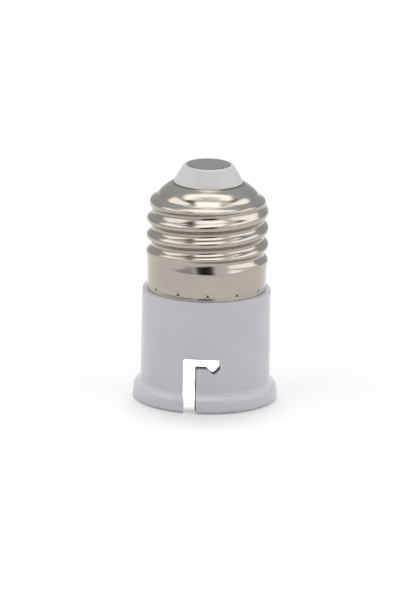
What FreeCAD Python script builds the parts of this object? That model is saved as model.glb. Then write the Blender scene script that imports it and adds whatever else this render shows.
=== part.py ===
import FreeCAD, Part
import math
import os
import re
import Sketcher

# Lamp socket adapter: a screw lamp cap on top, a two-pin bayonet lamp holder below.
# Millimetres. The mouth of the bayonet skirt lies on the XY plane, the axis is +Z,
# and the locked lamp's two pins lie along Y.

V = FreeCAD.Vector
doc = FreeCAD.newDocument("lamp_socket_adapter")
sheet = doc.addObject("Spreadsheet::Sheet", "dims")

SIZES = {
    # Bayonet skirt of the housing
    "socket_radius": 11.4,
    "socket_depth": 13.2,
    "body_wall": 2.4,
    "mouth_chamfer": 0.4,
    "mouth_round": 0.8,
    "flare_reach": 1.6,
    "flare_draft": 0.1,
    "flare_height": 3.8,
    "flare_roll": 1.5,
    "body_draft": 0.1,
    "rim_width": 0.95,
    "rim_round": 0.5,
    "rim_gap": 0.1,
    "seat_depth": 0.5,
    # Bayonet slots, measured across the front from the pin's resting place
    "slot_top": 11.65,
    "slot_corner": 0.5,
    "slot_end_corner": 0.85,
    "leg_centre": 5.09,
    "leg_width": 2.8,
    "leg_corner": 0.4,
    "passage_height": 2.07,
    "pocket_depth": 1.1,
    "pocket_radius": 0.75,
    "pocket_reach": 1.5,
    # Neck and the seat of the contact block
    "guide_depth": 4.0,
    "guide_step": 0.25,
    "block_thickness": 4.0,
    "ledge_thickness": 2.5,
    "seat_ledge": 0.95,
    "neck_height": 5.8,
    "neck_wall": 1.2,
    "neck_chamfer": 0.4,
    "bead_height": 0.2,
    "bead_rise": 0.6,
    "fit_gap": 0.05,
    "cut_margin": 1,
    # Screw shell
    "shell_wall": 0.3,
    "shell_height": 24.15,
    "skirt_height": 6.6,
    "skirt_step": 0.45,
    "skirt_flare": 0.2,
    "throat_rise": 0.8,
    "crest_radius": 13.1,
    "crest_top": 17.8,
    "shoulder_height": 19.7,
    "shoulder_step": 0.45,
    "shoulder_round": 0.9,
    "shoulder_run": 0.63,
    "hole_radius": 7.2,
    "thread_pitch": 3.629,
    "thread_depth": 1.0,
    "thread_start": 8.45,
    "thread_turns": 2.5,
    "thread_azimuth": -8,
    "groove_floor": 1.1,
    "groove_mouth": 3.2,
    "fade_turns": 0.5,
    "fade_angle": 28,
    "top_fade_angle": 16,
    "fade_lap": 4,
    "stake_count": 12,
    "stake_azimuth": -6.8,
    "stake_height": 1.3,
    "stake_size": 0.7,
    "stake_depth": 0.4,
    # Insulator and tip contact
    "cone_rise": 3.55,
    "cone_foot": 0.25,
    "cone_edge": 0.3,
    "flange_radius": 9.3,
    "flange_thickness": 1.2,
    "hub_radius": 4.0,
    "hub_length": 5.6,
    "tip_radius": 4.75,
    "rim_land": 0.6,
    "tip_thickness": 0.4,
    "tip_proud": 0.1,
    "stem_radius": 1.5,
    "stem_bore": 0.45,
    "clinch_radius": 2.1,
    "clinch_height": 0.5,
    # Sprung contacts
    "contact_spacing": 5.1,
    "barrel_radius": 3.0,
    "barrel_wall": 0.4,
    "barrel_lip": 0.4,
    "barrel_flange": 0.5,
    "boss_height": 4.6,
    "boss_wall": 1.0,
    "boss_gap": 0.3,
    "running_gap": 0.05,
    "plunger_radius": 2.05,
    "plunger_reach": 3.8,
    "nose_height": 0.9,
    "plunger_flange": 1.0,
    "pilot_radius": 1.6,
    "pilot_height": 1.2,
    "spring_wire": 0.4,
    "spring_coils": 5,
    "rib_thickness": 1.0,
    "rib_length": 12.0,
    "rib_height": 6.5,
    # Tags, solder and leads
    "tag_thickness": 0.5,
    "tag_width": 3.2,
    "tag_heel": 1.8,
    "tag_reach": 3.4,
    "tenon_radius": 1.0,
    "tenon_head": 0.4,
    "joint_reach": 2.6,
    "solder_radius": 1.0,
    "solder_height": 1.1,
    "wire_radius": 0.35,
    "sleeve_wall": 0.35,
    "bare_end": 1.6,
    "tip_rise": 8.0,
    "sway_angle": 45,
    "loop_rise": 4.1,
    "loop_clearance": 0.9,
    "loop_radius": 1.5,
    "edge_radius": 0.8,
    "trap_length": 4.0,
    "trap_width": 0.9,
}

# Sizes that follow from those above, each as words of the sheet
DERIVED = {
    "block_foot": "socket_depth + guide_depth",
    "block_top": "block_foot + block_thickness",
    "seat_height": "block_top + ledge_thickness",
    "rim_height": "seat_height + seat_depth",
    "passage_floor": "slot_top - passage_height",
    "pocket_floor": "passage_floor - pocket_depth",
    "skirt_radius": "crest_radius - skirt_step",
    "recess_radius": "skirt_radius + rim_gap",
    "body_radius": "max(socket_radius + body_wall; recess_radius + rim_width)",
    "flare_radius": "body_radius + body_draft + flare_reach",
    "guide_radius": "socket_radius - guide_step",
    "boss_radius": "barrel_radius + boss_wall",
    "boss_room": "contact_spacing + boss_radius + boss_gap",
    "neck_radius": "skirt_radius - shell_wall - fit_gap",
    "neck_bore": "max(min(guide_radius - seat_ledge; neck_radius - neck_wall); boss_room)",
    "neck_top": "seat_height + neck_height",
    "root_radius": "crest_radius - thread_depth",
    "shoulder_radius": "crest_radius - shoulder_step",
    "shell_top": "seat_height + shell_height",
    "dome_radius": "shoulder_radius - shoulder_run",
    "dome_foot": "seat_height + shoulder_height + shoulder_round",
    "dome_slope": "(shell_top - dome_foot) / (dome_radius - hole_radius)",
    "dome_drop": "shell_wall * sqrt(1 + dome_slope * dome_slope)",
    "shell_bore": "root_radius - shell_wall",
    "cone_top": "shell_top + cone_rise",
    "cone_rim": "tip_radius + rim_land",
    "tip_floor": "cone_top + tip_proud - tip_thickness",
    "hub_foot": "cone_top - hub_length",
    "barrel_bore": "barrel_radius - barrel_wall",
    "barrel_top": "block_top + boss_height",
    "lip_top": "block_foot + barrel_lip",
    "plunger_tip": "block_foot - plunger_reach",
    "cap_floor": "barrel_top - barrel_wall",
    "spring_foot": "lip_top + plunger_flange",
    "spring_radius": "barrel_bore - running_gap - spring_wire",
    "tag_top": "barrel_top + tag_thickness",
    "sleeve_radius": "wire_radius + sleeve_wall",
    "lead_offset": "contact_spacing - joint_reach",
    "trap_radius": "skirt_radius - shell_wall - wire_radius - fit_gap / 2",
    "loop_height": "max(tag_top + loop_rise; neck_top + loop_clearance)",
    "sway_radius": "lead_offset / (2 * (1 - cos(sway_angle)))",
    "sway_half": "sway_radius * sin(sway_angle)",
}


def on_sheet(text):
    """Point each word of a formula at the sheet's cell of that name."""
    return re.sub(r"\b([a-z][a-z_]+)\b(?!\()", r"dims.\1", text)


row = 0
for name, size in SIZES.items():
    row += 1
    sheet.set(f"A{row}", name)
    sheet.set(f"B{row}", str(size))
    sheet.setAlias(f"B{row}", name)
for name, formula in DERIVED.items():
    row += 1
    sheet.set(f"A{row}", name)
    sheet.set(f"B{row}", "=" + formula)
    sheet.setAlias(f"B{row}", name)
doc.recompute()


def size_of(text):
    """The number that a formula on the sheet gives."""
    result = sheet.evalExpression(text)
    return float(getattr(result, "Value", result))


def new_body(label):
    body = doc.addObject("PartDesign::Body", label)
    body.Label = label
    return body


def origin_part(body, role):
    return [item for item in body.Origin.OriginFeatures if item.Role == role][0]


def new_sketch(body, name, plane="XZ_Plane", lift=None, turn=None, reach="0"):
    """A sketch on one of the body's own planes: a level one lifted along Z, or an upright
    one turned about the axis and moved out from it."""
    sketch = body.newObject("Sketcher::SketchObject", f"{body.Name}_{name}")
    sketch.AttachmentSupport = (origin_part(body, plane), [""])
    sketch.MapMode = "FlatFace"
    if turn is not None:
        sketch.AttachmentOffset = FreeCAD.Placement(V(0, 0, 0), FreeCAD.Rotation(V(0, 1, 0), size_of(turn)))
        sketch.setExpression(".AttachmentOffset.Rotation.Angle", on_sheet(f"({turn}) * 1deg"))
        sketch.setExpression(".AttachmentOffset.Base.x", on_sheet(f"({reach}) * sin({turn})"))
        sketch.setExpression(".AttachmentOffset.Base.z", on_sheet(f"({reach}) * cos({turn})"))
    if lift is not None:
        sketch.setExpression(".AttachmentOffset.Base.z", on_sheet(lift))
    return sketch


def hold(sketch, item, end, axis, formula):
    """Fix one coordinate of a sketch point to a formula."""
    kind = {"across": "DistanceX", "up": "DistanceY"}[axis]
    place = sketch.addConstraint(Sketcher.Constraint(kind, -1, 1, item, end, size_of(formula)))
    sketch.setExpression(f"Constraints[{place}]", on_sheet(formula))


def outline(sketch, points, closed=True):
    """Join points by lines, or by an arc where a point carries the radius to the next one.
    A positive radius turns left, a negative one turns right."""
    spots = [V(size_of(point[0]), size_of(point[1]), 0) for point in points]
    runs = len(points) if closed else len(points) - 1
    ends = []
    for index in range(runs):
        start, stop = spots[index], spots[(index + 1) % len(spots)]
        if len(points[index]) == 2:
            item = sketch.addGeometry(Part.LineSegment(start, stop), False)
            ends.append((item, 1, 2))
            continue
        radius = size_of(points[index][2])
        half = (stop - start) * 0.5
        side = V(-half.y, half.x, 0).normalize() * math.copysign(1, radius)
        centre = start + half + side * math.sqrt(max(radius * radius - half.Length ** 2, 0))
        circle = Part.Circle(centre, V(0, 0, 1), abs(radius))
        first, last = (start, stop) if radius > 0 else (stop, start)
        item = sketch.addGeometry(Part.ArcOfCircle(circle, circle.parameter(first), circle.parameter(last)), False)
        ends.append((item, 1, 2) if radius > 0 else (item, 2, 1))
        place = sketch.addConstraint(Sketcher.Constraint("Radius", item, abs(radius)))
        sketch.setExpression(f"Constraints[{place}]", on_sheet(f"abs({points[index][2]})"))
    for index in range(runs if closed else runs - 1):
        item, _, tail = ends[index]
        following, head, _ = ends[(index + 1) % runs]
        sketch.addConstraint(Sketcher.Constraint("Coincident", item, tail, following, head))
    for index, point in enumerate(points):
        item, end = (ends[index][0], ends[index][1]) if index < runs else (ends[-1][0], ends[-1][2])
        hold(sketch, item, end, "across", point[0])
        hold(sketch, item, end, "up", point[1])
    return sketch


def circles(sketch, centres, radius):
    for across, up in centres:
        item = sketch.addGeometry(Part.Circle(V(size_of(across), size_of(up), 0), V(0, 0, 1), size_of(radius)), False)
        place = sketch.addConstraint(Sketcher.Constraint("Radius", item, size_of(radius)))
        sketch.setExpression(f"Constraints[{place}]", on_sheet(radius))
        hold(sketch, item, 3, "across", across)
        hold(sketch, item, 3, "up", up)
    return sketch


def spin(body, points):
    """Revolve a section, drawn as radius and height, about the body's axis."""
    feature = body.newObject("PartDesign::Revolution", f"{body.Name}_turned")
    feature.Profile = outline(new_sketch(body, "section"), points)
    feature.ReferenceAxis = (origin_part(body, "Z_Axis"), [""])
    feature.Angle = 360
    return feature


def pad(body, name, sketch, length):
    feature = body.newObject("PartDesign::Pad", f"{body.Name}_{name}")
    feature.Profile = sketch
    feature.setExpression("Length", on_sheet(length))
    return feature


def pocket(body, name, sketch, length, upward=False):
    """Cut down from a level sketch, up from it, or out to the front from an upright one."""
    feature = body.newObject("PartDesign::Pocket", f"{body.Name}_{name}")
    feature.Profile = sketch
    feature.Reversed = upward
    feature.setExpression("Length", on_sheet(length))
    return feature


def around(body, name, feature, count):
    pattern = body.newObject("PartDesign::PolarPattern", f"{body.Name}_{name}")
    pattern.Originals = [feature]
    pattern.Axis = (origin_part(body, "Z_Axis"), [""])
    pattern.Angle = 360
    pattern.setExpression("Occurrences", on_sheet(count))
    body.Tip = pattern
    return pattern


def place_beside(body, side, distance):
    """Stand a sprung contact's piece on the left or right, its own +X towards the middle."""
    body.Placement = FreeCAD.Placement(V(0, 0, 0), FreeCAD.Rotation(V(0, 0, 1), 0 if side == "left" else 180))
    body.setExpression(".Placement.Base.x", on_sheet(f"-({distance})" if side == "left" else distance))


def helix_cut(body, name, sketch, turns, cone="0", downward=False):
    """Sweep a groove's section along a right-handed screw line and cut it away."""
    feature = body.newObject("PartDesign::SubtractiveHelix", f"{body.Name}_{name}")
    feature.Profile = sketch
    feature.ReferenceAxis = (origin_part(body, "Z_Axis"), [""])
    feature.Mode = 0
    feature.setExpression("Pitch", on_sheet("thread_pitch"))
    feature.setExpression("Height", on_sheet(f"thread_pitch * {turns}"))
    feature.setExpression("Angle", on_sheet(cone))
    feature.Reversed = downward
    return feature


def pipe(body, name, section, path):
    feature = body.newObject("PartDesign::AdditivePipe", f"{body.Name}_{name}")
    feature.Profile = section
    feature.Spine = path
    return feature


# Housing: one white plastic moulding, the bayonet skirt below and a neck for the shell above
housing = new_body("housing")
spin(housing, [
    ("socket_radius + mouth_chamfer", "0"),
    ("flare_radius - mouth_round", "0", "mouth_round"),
    ("flare_radius", "mouth_round"),
    ("flare_radius - flare_draft", "flare_height - flare_roll",
     "((flare_reach - flare_draft)^2 + flare_roll^2) / (2 * min(flare_reach - flare_draft; flare_roll))"),
    ("body_radius + body_draft", "flare_height"),
    ("body_radius", "rim_height - rim_round", "rim_round"),
    ("body_radius - rim_round", "rim_height"),
    ("recess_radius", "rim_height"),
    ("recess_radius", "seat_height"),
    ("neck_radius", "seat_height"),
    ("neck_radius", "neck_top - neck_chamfer"),
    ("neck_radius - neck_chamfer", "neck_top"),
    ("neck_bore", "neck_top"),
    ("neck_bore", "block_top"),
    ("guide_radius", "block_top"),
    ("guide_radius", "block_foot - fit_gap"),
    ("guide_radius - bead_height", "block_foot - fit_gap - bead_height"),
    ("guide_radius", "block_foot - fit_gap - bead_rise"),
    ("guide_radius", "socket_depth"),
    ("socket_radius", "socket_depth"),
    ("socket_radius", "mouth_chamfer"),
])
slot = pocket(housing, "slot", outline(new_sketch(housing, "slot_outline"), [
    ("-leg_centre - leg_width / 2", "-cut_margin"),
    ("-leg_centre + leg_width / 2", "-cut_margin"),
    ("-leg_centre + leg_width / 2", "passage_floor - leg_corner", "-leg_corner"),
    ("-leg_centre + leg_width / 2 + leg_corner", "passage_floor"),
    ("-pocket_radius * sqrt(2) + (pocket_floor + pocket_radius - passage_floor)", "passage_floor"),
    ("-pocket_radius / sqrt(2)", "pocket_floor + pocket_radius * (1 - 1 / sqrt(2))", "pocket_radius"),
    ("pocket_radius / sqrt(2)", "pocket_floor + pocket_radius * (1 - 1 / sqrt(2))"),
    ("pocket_reach", "pocket_floor + pocket_reach - pocket_radius * (sqrt(2) - 1)"),
    ("pocket_reach", "slot_top - slot_end_corner", "slot_end_corner"),
    ("pocket_reach - slot_end_corner", "slot_top"),
    ("-leg_centre - leg_width / 2 + slot_corner", "slot_top", "slot_corner"),
    ("-leg_centre - leg_width / 2", "slot_top - slot_corner"),
]), "flare_radius + cut_margin", True)
around(housing, "slots", slot, "2")
trap = new_sketch(housing, "lead_groove_outline", "XY_Plane", "neck_top + cut_margin")
pocket(housing, "lead_groove", outline(trap, [
    ("-neck_radius - cut_margin", "-trap_width / 2"),
    ("-trap_radius + wire_radius + fit_gap", "-trap_width / 2"),
    ("-trap_radius + wire_radius + fit_gap", "trap_width / 2"),
    ("-neck_radius - cut_margin", "trap_width / 2"),
]), "trap_length + cut_margin")
dimple_sketch = new_sketch(housing, "dimple_outline", turn="stake_azimuth", reach="neck_radius - stake_depth")
dimple = pocket(housing, "dimple", outline(dimple_sketch, [
    ("-stake_size / 2", "seat_height + stake_height"),
    ("stake_size / 2", "seat_height + stake_height"),
    ("0", "seat_height + stake_height + stake_size"),
]), "stake_depth + cut_margin", True)
around(housing, "dimples", dimple, "stake_count")

# Screw shell: nickel-plated sheet, drawn, thread-rolled and staked to the neck at twelve points
shell = new_body("screw_shell")
spin(shell, [
    ("0", "seat_height"),
    ("skirt_radius", "seat_height"),
    ("skirt_radius + skirt_flare", "seat_height + skirt_height"),
    ("crest_radius", "seat_height + skirt_height + skirt_flare"),
    ("crest_radius", "seat_height + crest_top"),
    ("shoulder_radius", "seat_height + shoulder_height", "shoulder_round"),
    ("dome_radius", "dome_foot"),
    ("hole_radius", "shell_top"),
    ("0", "shell_top"),
])


def groove_section(name, height, turned="0"):
    """The groove's section at a height, turned about the axis from where the thread starts."""
    sketch = new_sketch(shell, name, turn=f"thread_azimuth + {turned}")
    return outline(sketch, [
        ("crest_radius + shell_wall", f"{height} - groove_mouth / 2"),
        ("crest_radius + shell_wall", f"{height} + groove_mouth / 2"),
        ("root_radius", f"{height} + groove_floor / 2"),
        ("root_radius", f"{height} - groove_floor / 2"),
    ])


helix_cut(shell, "thread", groove_section("thread_section", "seat_height + thread_start"), "thread_turns")
helix_cut(shell, "fade", groove_section("fade_section", "seat_height + thread_start"),
          "fade_turns", "fade_angle", True)
top_section = groove_section("top_section", "seat_height + thread_start + thread_pitch * (thread_turns - fade_lap / 360)",
                             "360 * thread_turns - fade_lap")
helix_cut(shell, "top_fade", top_section, "fade_turns", "top_fade_angle")
hollow = shell.newObject("PartDesign::Groove", "screw_shell_hollow")
hollow.Profile = outline(new_sketch(shell, "hollow_section"), [
    ("0", "seat_height - cut_margin"),
    ("skirt_radius - shell_wall", "seat_height - cut_margin"),
    ("skirt_radius - shell_wall", "seat_height"),
    ("skirt_radius + skirt_flare - shell_wall", "neck_top + shell_wall"),
    ("shell_bore", "seat_height + skirt_height + throat_rise"),
    ("shell_bore", "shell_top - dome_drop - (shell_bore - hole_radius) * dome_slope"),
    ("hole_radius", "shell_top - dome_drop"),
    ("hole_radius", "shell_top + cut_margin"),
    ("0", "shell_top + cut_margin"),
])
hollow.ReferenceAxis = (origin_part(shell, "Z_Axis"), [""])
hollow.Angle = 360
stake = pocket(shell, "stake", outline(new_sketch(shell, "stake_outline", turn="stake_azimuth"), [
    ("-stake_size / 2", "seat_height + stake_height"),
    ("stake_size / 2", "seat_height + stake_height"),
    ("0", "seat_height + stake_height + stake_size"),
]), "crest_radius + cut_margin", True)
around(shell, "stakes", stake, "stake_count")

# Insulator: a white cone set in the shell's top hole, with a flange and a hub below it
insulator = new_body("tip_insulator")
spin(insulator, [
    ("stem_radius + fit_gap", "hub_foot"),
    ("hub_radius", "hub_foot"),
    ("hub_radius", "shell_top - dome_drop - (flange_radius - hole_radius) * dome_slope - flange_thickness"),
    ("flange_radius", "shell_top - dome_drop - (flange_radius - hole_radius) * dome_slope - flange_thickness"),
    ("flange_radius", "shell_top - dome_drop - (flange_radius - hole_radius) * dome_slope - fit_gap"),
    ("hole_radius - fit_gap", "shell_top - dome_drop - fit_gap * (1 - dome_slope)"),
    ("hole_radius - fit_gap", "shell_top + fit_gap * (1 + dome_slope)"),
    ("hole_radius + cone_foot", "shell_top + fit_gap - cone_foot * dome_slope"),
    ("cone_rim + cone_edge / 2", "cone_top - cone_edge"),
    ("cone_rim - cone_edge", "cone_top"),
    ("tip_radius + fit_gap", "cone_top"),
    ("tip_radius + fit_gap", "tip_floor"),
    ("stem_radius + fit_gap", "tip_floor"),
])

# Tip contact: a plated disc on a hollow stem, clinched under the hub
tip = new_body("tip_contact")
spin(tip, [
    ("stem_bore", "hub_foot - clinch_height"),
    ("clinch_radius - clinch_height / 2", "hub_foot - clinch_height"),
    ("clinch_radius", "hub_foot - clinch_height / 2"),
    ("clinch_radius", "hub_foot"),
    ("stem_radius", "hub_foot"),
    ("stem_radius", "tip_floor"),
    ("tip_radius", "tip_floor"),
    ("tip_radius", "cone_top + tip_proud / 2"),
    ("tip_radius - tip_proud", "cone_top + tip_proud"),
    ("0", "cone_top + tip_proud"),
    ("0", "tip_floor"),
    ("stem_bore", "tip_floor"),
])

# Contact block: a plastic disc held under the housing's ledge by the snap bead
block = new_body("contact_block")
spin(block, [
    ("0", "block_foot"),
    ("guide_radius - fit_gap", "block_foot"),
    ("guide_radius - fit_gap", "block_top"),
    ("0", "block_top"),
])
pair = [("-contact_spacing", "0"), ("contact_spacing", "0")]
bosses = circles(new_sketch(block, "boss_outline", "XY_Plane", "block_top"), pair, "boss_radius")
pad(block, "bosses", bosses, "barrel_top - block_top")
rib = outline(new_sketch(block, "rib_outline", "XY_Plane", "block_top"), [
    ("-rib_thickness / 2", "-rib_length / 2"),
    ("rib_thickness / 2", "-rib_length / 2"),
    ("rib_thickness / 2", "rib_length / 2"),
    ("-rib_thickness / 2", "rib_length / 2"),
])
pad(block, "rib", rib, "rib_height")
bores = circles(new_sketch(block, "bore_outline", "XY_Plane", "barrel_top + cut_margin"), pair, "barrel_radius + fit_gap")
pocket(block, "bores", bores, "barrel_top - block_foot + 2 * cut_margin")
sinks = circles(new_sketch(block, "sink_outline", "XY_Plane", "block_foot"), pair,
                "barrel_radius + barrel_flange + fit_gap")
pocket(block, "sinks", sinks, "barrel_lip", True)

for side in ("left", "right"):
    # Barrel: a drawn brass cup with its mouth rolled in, a flange below and a tenon on top
    barrel = new_body(f"contact_barrel_{side}")
    spin(barrel, [
        ("plunger_radius + running_gap", "block_foot"),
        ("barrel_radius + barrel_flange", "block_foot"),
        ("barrel_radius + barrel_flange", "lip_top"),
        ("barrel_radius", "lip_top"),
        ("barrel_radius", "barrel_top"),
        ("tenon_radius", "barrel_top"),
        ("tenon_radius", "tag_top"),
        ("tenon_radius + tenon_head / 2", "tag_top"),
        ("tenon_radius", "tag_top + tenon_head"),
        ("0", "tag_top + tenon_head"),
        ("0", "cap_floor"),
        ("barrel_bore", "cap_floor"),
        ("barrel_bore", "lip_top"),
        ("plunger_radius + running_gap", "lip_top"),
    ])
    place_beside(barrel, side, "contact_spacing")

    # Plunger: turned brass with a domed nose, a flange that stops on the lip and a spring pilot
    plunger = new_body(f"plunger_{side}")
    spin(plunger, [
        ("0", "plunger_tip"),
        ("plunger_radius - nose_height", "plunger_tip", "nose_height"),
        ("plunger_radius", "plunger_tip + nose_height"),
        ("plunger_radius", "lip_top"),
        ("barrel_bore - running_gap", "lip_top"),
        ("barrel_bore - running_gap", "spring_foot"),
        ("pilot_radius", "spring_foot"),
        ("pilot_radius", "spring_foot + pilot_height"),
        ("0", "spring_foot + pilot_height"),
    ])
    place_beside(plunger, side, "contact_spacing")

    # Spring: five open coils of steel wire between the plunger's flange and the cup's floor
    spring = new_body(f"plunger_spring_{side}")
    coil = spring.newObject("PartDesign::AdditiveHelix", f"plunger_spring_{side}_coil")
    coil.Profile = outline(new_sketch(spring, "wire_outline"), [
        ("spring_radius", "spring_foot"),
        ("spring_radius + spring_wire", "spring_foot"),
        ("spring_radius + spring_wire", "spring_foot + spring_wire"),
        ("spring_radius", "spring_foot + spring_wire"),
    ])
    coil.ReferenceAxis = (origin_part(spring, "Z_Axis"), [""])
    coil.Mode = 0
    coil.setExpression("Height", on_sheet("cap_floor - spring_foot - spring_wire"))
    coil.setExpression("Pitch", on_sheet("(cap_floor - spring_foot - spring_wire) / spring_coils"))
    place_beside(spring, side, "contact_spacing")

    # Tag: a punched brass strip on the boss, held by the barrel's peened tenon
    tag = new_body(f"solder_tag_{side}")
    strip = new_sketch(tag, "strip_outline", "XY_Plane", "barrel_top")
    pad(tag, "strip", outline(strip, [
        ("-tag_heel", "-tag_width / 2"),
        ("tag_reach", "-tag_width / 2"),
        ("tag_reach", "tag_width / 2"),
        ("-tag_heel", "tag_width / 2"),
    ]), "tag_thickness")
    hole = circles(new_sketch(tag, "hole_outline", "XY_Plane", "tag_top + cut_margin"), [("0", "0")], "tenon_radius + fit_gap")
    pocket(tag, "hole", hole, "tag_thickness + 2 * cut_margin")
    place_beside(tag, side, "contact_spacing")

    # Solder: a fillet of tin on the tag round the foot of the lead
    solder = new_body(f"tag_solder_{side}")
    spin(solder, [
        ("wire_radius + fit_gap / 2", "tag_top"),
        ("solder_radius", "tag_top"),
        ("solder_radius / 2", "tag_top + solder_height / 2"),
        ("wire_radius + fit_gap / 2", "tag_top + solder_height"),
    ])
    place_beside(solder, side, "lead_offset")


def lead(label, route, start, radius, bore=None):
    """A wire, or its sleeve where a bore is given, swept along a route in the XZ plane."""
    body = new_body(label)
    path = outline(new_sketch(body, "route"), route, closed=False)
    section = circles(new_sketch(body, "section", "XY_Plane", start), [(route[0][0], "0")], radius)
    if bore:
        circles(section, [(route[0][0], "0")], bore)
    pipe(body, "run", section, path)
    return body


# Tip lead: rises from the right tag and sways over to the tip contact's hollow stem
sway_foot = "tag_top + tip_rise"
sway = [
    ("lead_offset", sway_foot, "sway_radius"),
    ("lead_offset / 2", f"{sway_foot} + sway_half", "-sway_radius"),
    ("0", f"{sway_foot} + 2 * sway_half"),
]
lead("tip_lead_wire", [("lead_offset", "tag_top")] + sway + [("0", "tip_floor - bare_end")],
     "tag_top", "wire_radius")
sleeve_foot = "tag_top + solder_height + fit_gap"
lead("tip_lead_sleeve", [("lead_offset", sleeve_foot)] + sway
     + [("0", "hub_foot - clinch_height - bare_end")],
     sleeve_foot, "sleeve_radius", "wire_radius + fit_gap / 2")

# Shell lead: rises from the left tag and is bent over the neck, its bare end trapped by the shell
loop = [
    ("-lead_offset", "loop_height - loop_radius", "loop_radius"),
    ("-lead_offset - loop_radius", "loop_height"),
]
lead("shell_lead_wire", [("-lead_offset", "tag_top")] + loop + [
    ("-trap_radius + edge_radius", "loop_height", "edge_radius"),
    ("-trap_radius", "loop_height - edge_radius"),
    ("-trap_radius", "neck_top - trap_length + fit_gap"),
], "tag_top", "wire_radius")
lead("shell_lead_sleeve", [("-lead_offset", sleeve_foot)] + loop + [
    ("-neck_bore + sleeve_radius", "loop_height"),
], sleeve_foot, "sleeve_radius", "wire_radius + fit_gap / 2")

# The document is whole once every feature has been worked out
doc.recompute()
for item in doc.Objects:
    if "Invalid" in item.State or "Error" in item.State:
        raise RuntimeError(f"{item.Label} failed: {item.State} {item.getStatusString()}")
os.makedirs("parts", exist_ok=True)
for piece in doc.Objects:
    if piece.TypeId != "PartDesign::Body":
        continue
    shape = piece.Shape
    if shape.isNull() or not shape.isValid() or not shape.Solids:
        raise RuntimeError(f"{piece.Label} has no valid solid")
    shape.exportStep(f"parts/{piece.Label}.step")
    print(piece.Label, len(shape.Solids), round(shape.Volume, 2), "mm3")
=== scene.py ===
import math

import bpy
import numpy as np
from mathutils import Matrix, Vector


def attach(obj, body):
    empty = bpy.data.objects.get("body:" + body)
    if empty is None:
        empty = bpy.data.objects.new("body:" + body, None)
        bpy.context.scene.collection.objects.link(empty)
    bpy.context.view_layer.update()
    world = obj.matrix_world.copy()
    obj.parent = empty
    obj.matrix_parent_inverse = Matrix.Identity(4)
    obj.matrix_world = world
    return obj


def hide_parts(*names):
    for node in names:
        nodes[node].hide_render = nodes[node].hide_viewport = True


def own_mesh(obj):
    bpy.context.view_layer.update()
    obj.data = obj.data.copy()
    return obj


# A lamp socket adapter: a screw cap that goes into the lamp holder of a house, and below it a
# bayonet skirt that takes a two-pin lamp. It stands on its mouth, and everything is in metres.
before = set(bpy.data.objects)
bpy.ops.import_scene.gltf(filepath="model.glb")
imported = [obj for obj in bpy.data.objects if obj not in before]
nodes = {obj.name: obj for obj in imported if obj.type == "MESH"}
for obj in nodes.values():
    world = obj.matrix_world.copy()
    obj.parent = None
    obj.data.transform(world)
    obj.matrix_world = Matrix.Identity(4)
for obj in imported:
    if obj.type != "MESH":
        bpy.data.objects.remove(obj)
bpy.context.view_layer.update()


# Screw shell
# A cup drawn from 0.3 mm brass sheet and plated with bright nickel. Its thread is rolled in
# between two formers, and twelve points of its foot are staked into the neck of the housing.

# Sizes in millimetres, with heights above the mouth, and azimuths in degrees
MM = 0.001
SHEET_WALL = 0.3
FOOT_HEIGHT = 23.7
SKIRT_RADIUS = 12.65
SKIRT_FLARE = 0.03
THREAD_PITCH = 3.629
THREAD_DEPTH = 1.1
THREAD_START = 32.15
THREAD_AZIMUTH = -8
THREAD_TURNS = range(-1, 4)
LAST_ROOT_RISE = 0.1
STAKE_COUNT = 12
STAKE_AZIMUTH = -6.8
STAKE_HEIGHT = 25.0
STAKE_SIZE = 0.8
STAKE_DEPTH = 0.3
STAKE_SLOPE = 0.08
STAKE_SILL = 0.06

# The lip that is rolled out at the foot, and the fine line that its roller leaves above it
LIP_REACH = 0.06
LIP_FADE = (24.75, 24.35)
LINE_DEPTH = 0.05
LINE_HEIGHT = 24.93
LINE_WIDTH = 0.12

# Turns of the helix from its lowest root at the front, over which the rolled groove comes and goes
GROOVE_COMES = (-0.48, -0.12)
GROOVE_GOES = (2.6, 3.08)
ROOT_LEVELS = (0, -0.2)
RAMP_COMES = (-0.02, -0.2)

# Radius and height down the neck of the cup, from the crest's last turn to the top hole
SHOULDER_PROFILE = [
    (13.1, 41.4), (12.8, 42.2), (12.55, 42.8), (12.5, 43.1), (12.5, 43.35), (12.43, 43.6),
    (12.24, 43.83), (11.9, 44.08), (11.5, 44.34), (11.15, 44.54), (10.9, 44.68), (10.8, 44.84),
    (10.68, 45.05), (10.55, 45.25), (10.35, 45.5), (10.15, 45.72), (9.9, 45.95), (9.6, 46.2),
    (9.25, 46.5), (8.8, 46.84), (7.68, 47.5), (7.5, 47.64), (7.3, 47.76), (7.2, 47.83),
    (7.1, 47.88),
]
PROFILE_SOFTNESS = 0.08
PROFILE_REACH = 0.4
PROFILE_STEP = 0.02
PROFILE_SPAN = (41, 48)

# Where the lowest crest rises out of the plain skirt: azimuth, lower and upper height
SKIRT_EDGE = [
    (-188, 30.8, 32.1),
    (-157, 31.0, 32.3),
    (-130, 30.9, 32.6),
    (-98, 31.2, 32.4),
    (-53, 30.6, 31.9),
    (-8, 29.2, 30.4),
    (82, 29.9, 31.2),
    (172, 30.8, 32.1),
]


def smooth_step(low, high, value):
    """0 at low and 1 at high, level at both ends."""
    share = np.clip((value - low) / (high - low), 0, 1)
    return share * share * (3 - 2 * share)


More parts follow.
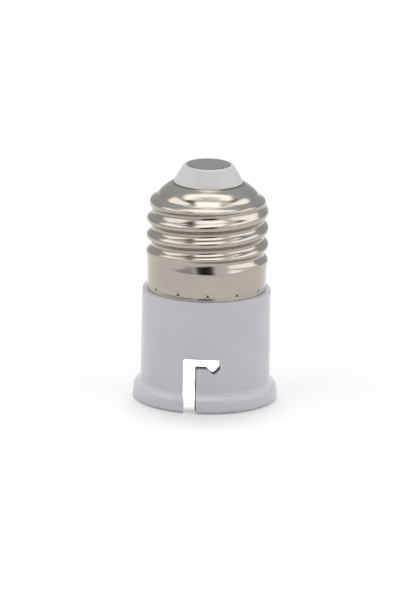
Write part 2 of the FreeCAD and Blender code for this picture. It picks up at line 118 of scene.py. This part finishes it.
def groove_depth(above):
    """Depth of one rolled groove above or below its middle: a root arc that runs into two crest
    arcs, eased towards a plain wave as thin sheet is when it is rolled."""
    quarter = THREAD_PITCH / 4
    arc = (THREAD_DEPTH ** 2 / 4 + quarter ** 2) / THREAD_DEPTH
    off = np.abs(above)
    near = np.minimum(off, quarter)
    far = np.clip(2 * quarter - off, 0, quarter)
    root = THREAD_DEPTH - (arc - np.sqrt(arc * arc - near * near))
    crest = arc - np.sqrt(arc * arc - far * far)
    wave = THREAD_DEPTH * (1 + np.cos(math.pi * np.minimum(off / (2 * quarter), 1))) / 2
    return (np.where(off < quarter, root, crest) + wave) / 2


# Below the last root, where the former has lifted out: distance down, and the share of depth left
RUN_OUT = [(0, 1), (0.2, 0.97), (0.5, 0.8), (1.0, 0.49), (2.0, 0.08), (2.6, 0)]


def read_off(value, rows, given, wanted):
    """One column of a table at a value of another column, straight between its rows."""
    return np.interp(value, [row[given] for row in rows], [row[wanted] for row in rows])


def run_out(above):
    """Depth below the last groove's middle: a long plain ramp down to the skirt."""
    return THREAD_DEPTH * read_off(-above, RUN_OUT, 0, 1)


def shoulder_radius(height):
    """Radius down the neck, whose corners are rounded as a drawing die leaves them."""
    fine = np.arange(*PROFILE_SPAN, PROFILE_STEP)
    reach = np.arange(-PROFILE_REACH, PROFILE_REACH + PROFILE_STEP / 2, PROFILE_STEP)
    weights = np.exp(-(reach / PROFILE_SOFTNESS) ** 2 / 2)
    sharp = np.pad(read_off(fine, SHOULDER_PROFILE, 1, 0), len(reach) // 2, mode="edge")
    return np.interp(height, fine, np.convolve(sharp, weights / weights.sum(), mode="valid"))


def shell_radius(azimuth, height):
    """Radius of the cup's outer face at an azimuth in degrees and a height in millimetres."""
    lip = LIP_REACH * smooth_step(*LIP_FADE, height)
    line = LINE_DEPTH * np.exp(-((height - LINE_HEIGHT) / LINE_WIDTH) ** 2)
    skirt = SKIRT_RADIUS + SKIRT_FLARE * (height - FOOT_HEIGHT) + lip - line
    back = 180 - THREAD_AZIMUTH
    turned = (azimuth + back) % 360 - back
    low = read_off(turned, SKIRT_EDGE, 0, 1)
    high = read_off(turned, SKIRT_EDGE, 0, 2)
    radius = skirt + (shoulder_radius(height) - skirt) * smooth_step(low, high, height)
    for turn in THREAD_TURNS:
        along = (turned - THREAD_AZIMUTH) / 360 + turn
        helix = THREAD_START + THREAD_PITCH * along
        last = THREAD_START + LAST_ROOT_RISE * smooth_step(*ROOT_LEVELS, along)
        middle = np.where(along < 0, last, helix)
        above = height - middle
        above = np.where(above > 0, above * THREAD_PITCH / (helix + THREAD_PITCH - middle), above)
        ramp = smooth_step(*RAMP_COMES, along) * (above < 0)
        depth = groove_depth(above) * (1 - ramp) + run_out(above) * ramp
        share = smooth_step(*GROOVE_COMES, along) * (1 - smooth_step(*GROOVE_GOES, along))
        radius = radius - share * depth
    return radius


def stake_dent(azimuth, height):
    """How far the nearest staking point pushes the sheet in."""
    step = 360 / STAKE_COUNT
    off = (azimuth - STAKE_AZIMUTH + step / 2) % step - step / 2
    across = np.abs(off) * math.pi / 180 * SKIRT_RADIUS
    up = height - STAKE_HEIGHT
    room = STAKE_SIZE / 2 * (1 - up / STAKE_SIZE) - across
    return STAKE_DEPTH * smooth_step(0, STAKE_SLOPE, room) * smooth_step(-STAKE_SILL, 0, up)


def skin(name, grid):
    """A mesh over rows of points that each close round the axis."""
    rows, columns = grid.shape[:2]
    faces = []
    for row in range(rows - 1):
        for column in range(columns):
            beside = (column + 1) % columns
            faces.append((row * columns + column, row * columns + beside,
                          (row + 1) * columns + beside, (row + 1) * columns + column))
    mesh = bpy.data.meshes.new(name)
    mesh.from_pydata(grid.reshape(-1, 3).tolist(), [], faces)
    mesh.polygons.foreach_set("use_smooth", [True] * len(faces))
    piece = bpy.data.objects.new(name, mesh)
    bpy.context.scene.collection.objects.link(piece)
    return piece


# Columns of the mesh over a staking point and on to the next: first and last azimuth, and count
STAKE_COLUMNS = (-2.2, 2.2, 11)
PLAIN_COLUMNS = (3.6, 26.4, 13)

# Rows of the mesh from the foot to the top hole: lower and upper height, and step
ROW_BANDS = [
    (23.7, 24.85, 0.12),
    (24.86, 25.8, 0.085),
    (26.0, 29.2, 0.4),
    (29.3, 43.0, 0.165),
    (43.0, 44.9, 0.1),
    (44.9, 47.8, 0.15),
]
HOLE_ROWS = [47.81, 47.83]

sector = np.concatenate([np.linspace(*STAKE_COLUMNS), np.linspace(*PLAIN_COLUMNS)])
stakes = STAKE_AZIMUTH + 360 / STAKE_COUNT * np.arange(STAKE_COUNT)
azimuths = np.concatenate([stake + sector for stake in stakes])
heights = np.concatenate([np.arange(*band) for band in ROW_BANDS] + [HOLE_ROWS])
azimuth_grid, height_grid = np.meshgrid(azimuths, heights)
radius_grid = shell_radius(azimuth_grid, height_grid) - stake_dent(azimuth_grid, height_grid)
turned_grid = np.radians(azimuth_grid)
rolled_shell = skin("rolled_shell", np.stack([
    radius_grid * np.cos(turned_grid) * MM,
    radius_grid * np.sin(turned_grid) * MM,
    height_grid * MM,
], axis=-1))
sheet = rolled_shell.modifiers.new("sheet", "SOLIDIFY")
sheet.thickness = SHEET_WALL * MM
sheet.offset = -1


class Socket:
    """An output of a material's nodes, so that shader maths reads as plain arithmetic."""

    def __init__(self, tree, output=None):
        self.tree = tree
        self.output = output

    def node(self, kind, values, output=0, **settings):
        """Add a node: its settings are set first, then the values or links of its sockets."""
        made = self.tree.nodes.new(kind)
        for name, setting in settings.items():
            setattr(made, name, setting)
        for place, value in values.items():
            if isinstance(value, Socket):
                self.tree.links.new(value.output, made.inputs[place])
            else:
                made.inputs[place].default_value = value
        return Socket(self.tree, made.outputs[output])

    def beside(self, output):
        """Another output of the same node."""
        return Socket(self.tree, self.output.node.outputs[output])

    def math(self, operation, first, second):
        return self.node("ShaderNodeMath", {0: first, 1: second}, operation=operation)

    def __add__(self, other):
        return self.math("ADD", self, other)

    def __radd__(self, other):
        return self.math("ADD", other, self)

    def __sub__(self, other):
        return self.math("SUBTRACT", self, other)

    def __rsub__(self, other):
        return self.math("SUBTRACT", other, self)

    def __mul__(self, other):
        return self.math("MULTIPLY", self, other)

    def __rmul__(self, other):
        return self.math("MULTIPLY", other, self)

    def above(self, fade):
        """0 below the fade's first value and 1 above its second, smooth between them."""
        return self.node("ShaderNodeMapRange", {"Value": self, "From Min": fade[0], "From Max": fade[1]},
                         interpolation_type="SMOOTHSTEP")

    def below(self, fade):
        """1 below the fade's first value and 0 above its second."""
        return 1 - self.above(fade)

    def within(self, foot, head):
        """1 between two fades and 0 outside them."""
        return self.above(foot) * self.below(head)

    def blend(self, first, second):
        """A colour that goes from the first to the second as this goes from 0 to 1. A Mix node
        takes its colours at sockets 6 and 7 and gives them at output 2."""
        return self.node("ShaderNodeMix", {0: self, 6: first, 7: second}, output=2, data_type="RGBA")

    def apart(self):
        """The three parts of a vector."""
        first = self.node("ShaderNodeSeparateXYZ", {0: self})
        return first, first.beside(1), first.beside(2)

    def from_axis(self):
        """Distance of a place from the adapter's axis."""
        across, deep, _ = self.apart()
        return self.math("POWER", across * across + deep * deep, 0.5)

    def size(self):
        return self.math("ABSOLUTE", self, 0)

    def noise(self, scale, detail=3.0, roughness=0.5):
        return self.node("ShaderNodeTexNoise", {"Vector": self, "Scale": scale, "Detail": detail,
                                                "Roughness": roughness})

    def relief(self, strength):
        """Normals of a skin that this lifts by up to a tenth of a millimetre."""
        return self.node("ShaderNodeBump", {"Strength": strength, "Distance": 0.0001, "Height": self})


def finish(name, **constants):
    """A new material: itself, its shader, and the place on the object that its nodes start from."""
    material = bpy.data.materials.new(name)
    material.use_nodes = True
    tree = material.node_tree
    shader = tree.nodes["Principled BSDF"]
    for socket, value in constants.items():
        shader.inputs[socket.replace("_", " ")].default_value = value
    place = Socket(tree).node("ShaderNodeTexCoord", {}, output="Object")
    return material, shader, place


def drive(shader, socket, source):
    """Link what varies over the surface to one of the shader's sockets."""
    source.tree.links.new(source.output, shader.inputs[socket])


def dress(piece, material):
    """Give a piece one material in place of those that it came with."""
    piece.data.materials.clear()
    piece.data.materials.append(material)


NICKEL = (0.415, 0.385, 0.338, 1)
NICKEL_WARM = (0.45, 0.414, 0.355, 1)
# Darker nickel for the thread's grooves
NICKEL_GROOVE_DARKER = (0.34, 0.318, 0.28, 1)
# Painted shade for the staking dents and round the top hole
NICKEL_PAINTED_SHADE = (0.06, 0.055, 0.05, 1)

# Radii and heights, in metres, over which the nickel's colour changes: darker in the thread's
# grooves, painted shade in the staking dents, and painted shade round the top hole
GROOVE_DEEP = (0.01212, 0.01262)
THREAD_FOOT = (0.0295, 0.0308)
THREAD_HEAD = (0.0432, 0.044)
DENT_DEEP = (0.01245, 0.0126)
DENT_FOOT = (0.0248, 0.02495)
DENT_HEAD = (0.02575, 0.0259)
HOLE_EDGE = (0.0075, 0.0079)
GROOVE_DARKENING = 0.35
SEAM_SHADE = 0.7

# How far the noise that mottles a metal has to rise from one of its colours to the other
METAL_PATCHES = (0.35, 0.7)

nickel, nickel_shader, place = finish("bright_nickel", Metallic=1.0, Roughness=0.14)
cloud = place.noise(160, 4.0, 0.55)
specks = place.noise(2600, 2.0)
ripple = place.noise(620, 2.0)
level = place.apart()[2]
from_axis = place.from_axis()
in_groove = from_axis.below(GROOVE_DEEP) * level.within(THREAD_FOOT, THREAD_HEAD)
dent = from_axis.below(DENT_DEEP) * level.within(DENT_FOOT, DENT_HEAD)
plate = cloud.above(METAL_PATCHES).blend(NICKEL, NICKEL_WARM)
# Darker in the thread's grooves
plate = (GROOVE_DARKENING * in_groove).blend(plate, NICKEL_GROOVE_DARKER)
# Painted shade: the staking dents painted near black
plate = dent.blend(plate, NICKEL_PAINTED_SHADE)
# Painted shade: a dark ring round the top hole, under the insulator's cone
plate = (SEAM_SHADE * from_axis.below(HOLE_EDGE)).blend(plate, NICKEL_PAINTED_SHADE)
drive(nickel_shader, "Base Color", plate)
drive(nickel_shader, "Roughness", 0.1 + 0.08 * cloud + 0.04 * specks)
drive(nickel_shader, "Normal", (ripple + 0.3 * specks).relief(0.12))
dress(rolled_shell, nickel)
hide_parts("screw_shell")
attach(rolled_shell, "adapter")


# Housing
# One white plastic moulding: the flared bayonet skirt with its two slots, and the neck that the
# shell is staked on. Its skin is satin with a very fine, even texture. Its colour is painted paler
# as lit on the bore, the mouth's inner edge, the flare's roll and the crease above it, and the cut
# faces of the slots are rough and painted dark as shade.

PLASTIC = (0.45, 0.446, 0.483, 1)
PLASTIC_PALE = (0.472, 0.467, 0.506, 1)
# Paler copies of the plastic painted as lit, on the flare's roll, the crease above it, the bore and the
# mouth's inner edge, and a near black for painted shade on the slots' cut faces
PLASTIC_ROLL_PAINTED_LIGHT = (0.515, 0.51, 0.55, 1)
PLASTIC_CREASE_PAINTED_LIGHT = (0.62, 0.615, 0.655, 1)
PLASTIC_BORE_PAINTED_LIGHT = (0.78, 0.78, 0.78, 1)
PLASTIC_MOUTH_PAINTED_LIGHT = (0.96, 0.96, 0.96, 1)
PLASTIC_CUT_PAINTED_SHADE = (0.04, 0.04, 0.044, 1)

# Radii and heights, in metres, over which the moulding's colour changes: painted light on the bore,
# the mouth's inner edge, the flare's roll and the crease above it, and painted shade on the slots'
# cut faces
BORE_SKIN = (0.01142, 0.01144)
MOUTH_TOP = (0.0008, 0.0009)
MOUTH_EDGE = (0.0128, 0.013)
ROLL_SKIN = (0.01392, 0.01396)
ROLL_RISE = (0.0015, 0.0036)
ROLL_TOP = (0.0038, 0.0039)
ROLL_SHADE = 0.7
CREASE_FOOT = (0.0026, 0.0034)
CREASE_HEAD = (0.0037, 0.0045)
CREASE_EDGE = (0.0142, 0.0152)
SLOT_FOOT = (0.0001, 0.0002)
SLOT_HEAD = (0.0119, 0.012)
SLOT_REACH = (0.0078, 0.008)
SLOT_SKIN = (0.0122, 0.0144)

# A cut face looks along X or Z, so that its normal has next to no share along Y
SLOT_FACING = (0.03, 0.06)
PLASTIC_PATCHES = (0.3, 0.7)

plastic, plastic_shader, place = finish("moulded_plastic", Roughness=0.25, IOR=1.62)
cloud = place.noise(90, 3.0)
across, _, level = place.apart()
from_axis = place.from_axis()
facing = place.beside("Normal").apart()[1]
in_slot = across.size().below(SLOT_REACH) * level.within(SLOT_FOOT, SLOT_HEAD)
cut = facing.size().below(SLOT_FACING) * in_slot * from_axis.below(SLOT_SKIN)
mouth = level.below(MOUTH_TOP) * from_axis.below(MOUTH_EDGE)
roll = from_axis.above(ROLL_SKIN) * (1 - ROLL_SHADE * level.below(ROLL_RISE)) * level.below(ROLL_TOP)
crease = level.within(CREASE_FOOT, CREASE_HEAD) * from_axis.below(CREASE_EDGE)
moulding = cloud.above(PLASTIC_PATCHES).blend(PLASTIC, PLASTIC_PALE)
# Painted light: the flare's roll painted paler as lit from above, less so low down on it
moulding = roll.blend(moulding, PLASTIC_ROLL_PAINTED_LIGHT)
# Painted light: the crease where the flare meets the wall above it painted paler, against its shade
moulding = crease.blend(moulding, PLASTIC_CREASE_PAINTED_LIGHT)
# Painted light: the bore painted much paler than the outer skin, so that it shows white through the
# slots
moulding = from_axis.below(BORE_SKIN).blend(moulding, PLASTIC_BORE_PAINTED_LIGHT)
# Painted light: the mouth's inner edge painted near white, though it faces down into shade
moulding = mouth.blend(moulding, PLASTIC_MOUTH_PAINTED_LIGHT)
# Painted shade: the slots' cut faces painted near black
drive(plastic_shader, "Base Color", cut.blend(moulding, PLASTIC_CUT_PAINTED_SHADE))
drive(plastic_shader, "Roughness", 0.2 + 0.05 * cloud + 0.7 * cut)
drive(plastic_shader, "Normal", place.noise(5200, 3.0).relief(0.06))
dress(nodes["housing"], plastic)


# Insulator
# A white ceramic-filled moulding whose smooth cone stands out of the shell's top hole. Its flange
# is held under the shell, and the tip contact is clinched in its hub.

INSULATOR = (0.475, 0.473, 0.463, 1)
INSULATOR_PALE = (0.508, 0.505, 0.495, 1)


def mottled(name, colour, other, patches, smooth, rougher, detail=3.0, fade=PLASTIC_PATCHES,
            grain=None, **constants):
    """A material whose colour and roughness drift in soft patches. Its grain is the scale, detail
    and strength of a fine relief."""
    material, shader, place = finish(name, **constants)
    cloud = place.noise(patches, detail)
    drive(shader, "Base Color", cloud.above(fade).blend(colour, other))
    drive(shader, "Roughness", smooth + rougher * cloud)
    if grain:
        grain_scale, grain_detail, strength = grain
        drive(shader, "Normal", place.noise(grain_scale, grain_detail).relief(strength))
    return material


dress(nodes["tip_insulator"], mottled(
    "insulator_white", INSULATOR, INSULATOR_PALE, patches=240, smooth=0.42, rougher=0.12,
    grain=(4200, 3.0, 0.05), Roughness=0.5, IOR=1.5))


# Tip contact
# A disc stamped from plated brass sheet on a hollow stem. Its top is satin from tumbling, with
# faint rings from the turning of the die.

TIP = (0.176, 0.173, 0.163, 1)
TIP_PALE = (0.217, 0.213, 0.2, 1)

satin, satin_shader, place = finish("satin_tip", Metallic=1.0, Roughness=0.34)
cloud = place.noise(420, 4.0)
rings = place.node("ShaderNodeTexWave", {
    "Vector": place, "Scale": 900.0, "Distortion": 1.5, "Detail": 2.0,
}, output="Fac", wave_type="RINGS", rings_direction="Z")
drive(satin_shader, "Base Color", cloud.above(PLASTIC_PATCHES).blend(TIP, TIP_PALE))
drive(satin_shader, "Roughness", 0.28 + 0.14 * cloud)
drive(satin_shader, "Normal", (rings + cloud).relief(0.04))
dress(nodes["tip_contact"], satin)


# Contact block
# A disc of plain white plastic with a boss for each barrel and a rib between the tags. It is
# pushed up the socket and snaps in under the housing's ledge.

BLOCK = (0.6, 0.6, 0.6, 1)
BLOCK_PALE = (0.66, 0.66, 0.66, 1)

dress(nodes["contact_block"], mottled(
    "block_plastic", BLOCK, BLOCK_PALE, patches=150, smooth=0.45, rougher=0.12,
    grain=(4800, 3.0, 0.05), Roughness=0.5, IOR=1.49))


# Sprung contacts
# Two drawn brass barrels, each with a turned brass plunger that a steel spring pushes out, and
# a punched tag that the barrel's tenon holds.

BRASS = (0.62, 0.44, 0.2, 1)
BRASS_WORN = (0.5, 0.36, 0.19, 1)

brass = mottled("plain_brass", BRASS, BRASS_WORN, patches=500, smooth=0.17, rougher=0.1, detail=4.0,
                fade=METAL_PATCHES, grain=(6000, 2.0, 0.05), Metallic=1.0, Roughness=0.25)
for side in ("left", "right"):
    for piece in ("contact_barrel", "plunger", "solder_tag"):
        dress(nodes[f"{piece}_{side}"], brass)

SPRING_STEEL = (0.42, 0.42, 0.43, 1)
SPRING_STEEL_PALE = (0.52, 0.52, 0.53, 1)
SPRING_MIDDLE = 2.35
WIRE_RADIUS = 0.2
WIRE_SIDES = 10
SPRING_COILS = 5
STEPS_PER_COIL = 28
SPRING_FOOT = 18.6
SPRING_TOP = 25.4
CONTACT_SPACING = 5.1

steel = mottled("spring_steel", SPRING_STEEL, SPRING_STEEL_PALE, patches=900, smooth=0.28, rougher=0.1,
                fade=METAL_PATCHES, Metallic=1.0, Roughness=0.3)

rest_length = SPRING_TOP - SPRING_FOOT
for side, middle in (("left", -CONTACT_SPACING), ("right", CONTACT_SPACING)):
    share = np.linspace(0, 1, SPRING_COILS * STEPS_PER_COIL + 1)
    coil = share * SPRING_COILS * 2 * math.pi
    rise = SPRING_FOOT + WIRE_RADIUS + share * (rest_length - 2 * WIRE_RADIUS)
    lap = np.arange(WIRE_SIDES) / WIRE_SIDES * 2 * math.pi
    out = SPRING_MIDDLE + WIRE_RADIUS * np.cos(lap)[:, None]
    tube = np.stack([
        (middle + out * np.cos(coil)[None, :]).T * MM,
        (out * np.sin(coil)[None, :]).T * MM,
        (rise[None, :] + WIRE_RADIUS * np.sin(lap)[:, None]).T * MM,
    ], axis=-1)
    spring = skin(f"wound_spring_{side}", tube)
    dress(spring, steel)
    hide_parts(f"plunger_spring_{side}")
    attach(spring, "adapter")
    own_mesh(spring)


# Leads and solder
# Two tinned copper leads in pale sleeves: one to the tip's stem, one bent over the neck and
# trapped under the shell. Each is soldered to its tag.

TIN = (0.55, 0.56, 0.58, 1)
TIN_DULL = (0.42, 0.43, 0.45, 1)
COPPER = (0.6, 0.34, 0.2, 1)
COPPER_TINNED = (0.6, 0.56, 0.52, 1)
SLEEVE = (0.55, 0.53, 0.5, 1)
SLEEVE_PALE = (0.62, 0.6, 0.57, 1)
TIN_PATCHES = (0.35, 0.65)

tin = mottled("solder_tin", TIN, TIN_DULL, patches=1400, smooth=0.28, rougher=0.2, fade=TIN_PATCHES,
              Metallic=1.0, Roughness=0.35)
copper = mottled("tinned_copper", COPPER_TINNED, COPPER, patches=1800, smooth=0.28, rougher=0.12,
                 Metallic=1.0, Roughness=0.3)
rubber = mottled("sleeve_rubber", SLEEVE, SLEEVE_PALE, patches=800, smooth=0.55, rougher=0.12,
                 Roughness=0.6)
for side in ("left", "right"):
    dress(nodes[f"tag_solder_{side}"], tin)
for lead in ("tip_lead", "shell_lead"):
    dress(nodes[f"{lead}_wire"], copper)
    dress(nodes[f"{lead}_sleeve"], rubber)


# Camera
# A long lens from a little left of the front, 15 degrees above the table, with a slight roll. Its
# focal length follows from its distance and from how many pixels a metre of the object takes.

CAMERA_TURN = -8
CAMERA_RISE = 15.08
CAMERA_ROLL = 1.0
CAMERA_DISTANCE = 2.4
CAMERA_NEAR = 0.1
CAMERA_FAR = 20
PIXELS_PER_METRE = 4658
FRAME_PIXELS = 601
SENSOR = 36

# The height that the camera looks at, in metres, and how far the frame is shifted, in pixels
AIM_HEIGHT = 0.025
AIM_RIGHT = 6.1
AIM_UP = 17.2

turn, rise = math.radians(CAMERA_TURN), math.radians(CAMERA_RISE)
backward = Vector((math.sin(turn) * math.cos(rise), -math.cos(turn) * math.cos(rise), math.sin(rise)))
view = backward.to_track_quat("Z", "Y").to_matrix() @ Matrix.Rotation(math.radians(CAMERA_ROLL), 3, "Z")
right, up = view.col[0], view.col[1]
shift_right = right * (AIM_RIGHT / PIXELS_PER_METRE)
shift_up = up * (AIM_UP / PIXELS_PER_METRE)
aim = Vector((0, 0, AIM_HEIGHT)) - shift_right - shift_up
lens = bpy.data.cameras.new("camera")
lens.sensor_width = SENSOR
lens.lens = PIXELS_PER_METRE * CAMERA_DISTANCE / FRAME_PIXELS * SENSOR
lens.clip_start = CAMERA_NEAR
lens.clip_end = CAMERA_FAR
camera = bpy.data.objects.new("camera", lens)
camera.location = aim + backward * CAMERA_DISTANCE
camera.rotation_mode = "QUATERNION"
camera.rotation_quaternion = view.to_quaternion()
bpy.context.scene.collection.objects.link(camera)
bpy.context.scene.camera = camera


# Table and surroundings
# A plain pale table in a white room. What the camera and the metal see of it is white, and the
# table keeps the adapter's soft shadow.

ROOM_LIGHT = (0.665, 0.665, 0.68, 1)
WHITE = (1, 1, 1, 1)
BLACK = (0, 0, 0, 1)
TABLE_SIZE = 3.0
TABLE_DROP = 0.00002
TABLE_GREY = (0.8, 0.8, 0.8, 1)
TABLE_SEEN = (0.7, 0.7, 0.7, 1)
TABLE_GLOW = (0.14, 0.14, 0.14, 1)


def looked_at(tree):
    """1 where the camera, bright metal or clear plastic looks, 0 for what lights the adapter."""
    camera_ray = Socket(tree).node("ShaderNodeLightPath", {}, output="Is Camera Ray")
    seen = camera_ray + camera_ray.beside("Is Glossy Ray") + camera_ray.beside("Is Transmission Ray")
    return seen.above((0, 1))


def rectangle(name, width, height):
    """A flat rectangle about its own middle."""
    mesh = bpy.data.meshes.new(name)
    mesh.from_pydata([(-width / 2, -height / 2, 0), (width / 2, -height / 2, 0),
                      (width / 2, height / 2, 0), (-width / 2, height / 2, 0)], [], [(0, 1, 2, 3)])
    piece = bpy.data.objects.new(name, mesh)
    bpy.context.scene.collection.objects.link(piece)
    return piece


bpy.context.scene.view_settings.view_transform = "Standard"
world = bpy.data.worlds.new("room")
bpy.context.scene.world = world
world.use_nodes = True
background = world.node_tree.nodes["Background"]
drive(background, "Color", looked_at(world.node_tree).blend(ROOM_LIGHT, WHITE))

table = rectangle("table", TABLE_SIZE, TABLE_SIZE)
table.location = (0, 0, -TABLE_DROP)
table_top, table_shader, _ = finish("pale_table", Roughness=0.9, Specular_IOR_Level=0,
                                    Emission_Strength=1)
seen = looked_at(table_top.node_tree)
drive(table_shader, "Base Color", seen.blend(TABLE_GREY, TABLE_SEEN))
drive(table_shader, "Emission Color", seen.blend(BLACK, TABLE_GLOW))
dress(table, table_top)


# Studio light
# Soft boxes at both sides and above light the adapter. Its bright metal shows a pale card in front
# of each box instead, and the darker cards that hang between and behind them.

OBJECT_MIDDLE = Vector((0, 0, 0.03))
CARD_EDGE = 0.12
BOX_EDGE = 0.3
WARM = (1.0, 0.975, 0.94)
CREAM = (1.0, 0.99, 0.985)
PLAIN = (1.0, 1.0, 1.0)
SKY = (0.96, 1.0, 1.04)
COOL = (0.92, 1.0, 1.08)


def stand_at(piece, turn, rise, distance):
    """Put a lamp or card round the adapter, its turn counted to the right of the camera."""
    azimuth = math.radians(CAMERA_TURN - 90 + turn)
    high = math.radians(rise)
    flat = math.cos(high)
    away = Vector((math.cos(azimuth) * flat, math.sin(azimuth) * flat, math.sin(high)))
    piece.location = OBJECT_MIDDLE + away * distance
    piece.rotation_mode = "QUATERNION"
    piece.rotation_quaternion = away.to_track_quat("Z", "Y")


def card(name, turn, rise, distance, width, height, brightness, colour=PLAIN, edge=CARD_EDGE):
    """A plane of even brightness that only bright surfaces show. Its edge fades out over a share
    of its size, and its width and height are taken from the middle of one fade to the other."""
    full_width, full_height = width / (1 - edge / 2), height / (1 - edge / 2)
    plane = rectangle(name, full_width, full_height)
    stand_at(plane, turn, rise, distance)
    material, shader, place = finish(name, Roughness=1.0, Base_Color=BLACK, Specular_IOR_Level=0,
                                     Emission_Color=(*colour, 1), Emission_Strength=brightness)
    across, along, _ = place.apart()
    across = (across.size() * (2 / full_width)).below((1 - edge, 1))
    along = (along.size() * (2 / full_height)).below((1 - edge, 1))
    drive(shader, "Alpha", across * along)
    dress(plane, material)
    plane.visible_camera = False
    plane.visible_diffuse = False
    plane.visible_shadow = False
    plane.visible_transmission = False


def lamp(name, turn, rise, distance, width, height, brightness):
    """A soft box that lights the adapter, while the metal shows the card before it."""
    light = bpy.data.lights.new(name, "AREA")
    light.shape = "RECTANGLE"
    light.size = width
    light.size_y = height
    light.energy = brightness * width * height * math.pi
    light.color = WARM
    box = bpy.data.objects.new(name, light)
    box.visible_camera = False
    box.visible_glossy = False
    stand_at(box, turn, rise, distance)
    bpy.context.scene.collection.objects.link(box)


# Each line gives the turn and rise in degrees, the distance, width and height in metres, and the
# brightness
lamp("left_box", -66, 38, 1.1, 1.3, 0.75, 1.12)
card("left_box_front", -82, 36, 1.1, 1.04, 0.62, 2.05, CREAM, BOX_EDGE)
lamp("right_box", 72, 28, 1.1, 1.6, 0.85, 0.82)
card("right_box_front", 80, 32, 1.1, 1.36, 0.56, 2.05, CREAM, BOX_EDGE)
lamp("top_box", 0, 105, 1.29, 0.42, 0.42, 13.5)
card("top_box_front", 0, 57, 1.29, 1.04, 0.68, 2.55, CREAM, BOX_EDGE)
card("top_box_back", 0, 95, 1.29, 1.6, 0.34, 2.5, CREAM, BOX_EDGE)
card("camera_card", -1, 16, 1.6, 0.8, 0.85, 0.01)
card("camera_side_card", -2, 15, 1.65, 1.1, 0.85, 0.45)
card("ceiling_card", 0, 115, 1.6, 3.0, 1.4, 0.66, COOL)
card("left_gap_card", -66, 56, 1.65, 1.0, 0.66, 0.1)
card("right_gap_card", 92, 54, 1.65, 0.55, 0.32, 0.06)
card("left_low_card", -62, 6, 0.55, 0.86, 0.17, 0.5)
card("left_rear_card", -140, 5, 1.8, 2.6, 3.6, 0.58, SKY)
card("right_rear_card", 140, 5, 1.8, 1.9, 3.6, 0.58, SKY)

# A small lamp in the mouth, so that the inside of the socket shows as white through the slots
SOCKET_LAMP_POWER = 0.0042
SOCKET_LAMP_RADIUS = 0.004
SOCKET_LAMP_HEIGHT = 0.0035

socket_lamp = bpy.data.lights.new("socket_lamp", "POINT")
socket_lamp.energy = SOCKET_LAMP_POWER
socket_lamp.shadow_soft_size = SOCKET_LAMP_RADIUS
socket_light = bpy.data.objects.new("socket_lamp", socket_lamp)
socket_light.location = (0, 0, SOCKET_LAMP_HEIGHT)
socket_light.visible_camera = False
bpy.context.scene.collection.objects.link(socket_light)

bpy.context.view_layer.update()
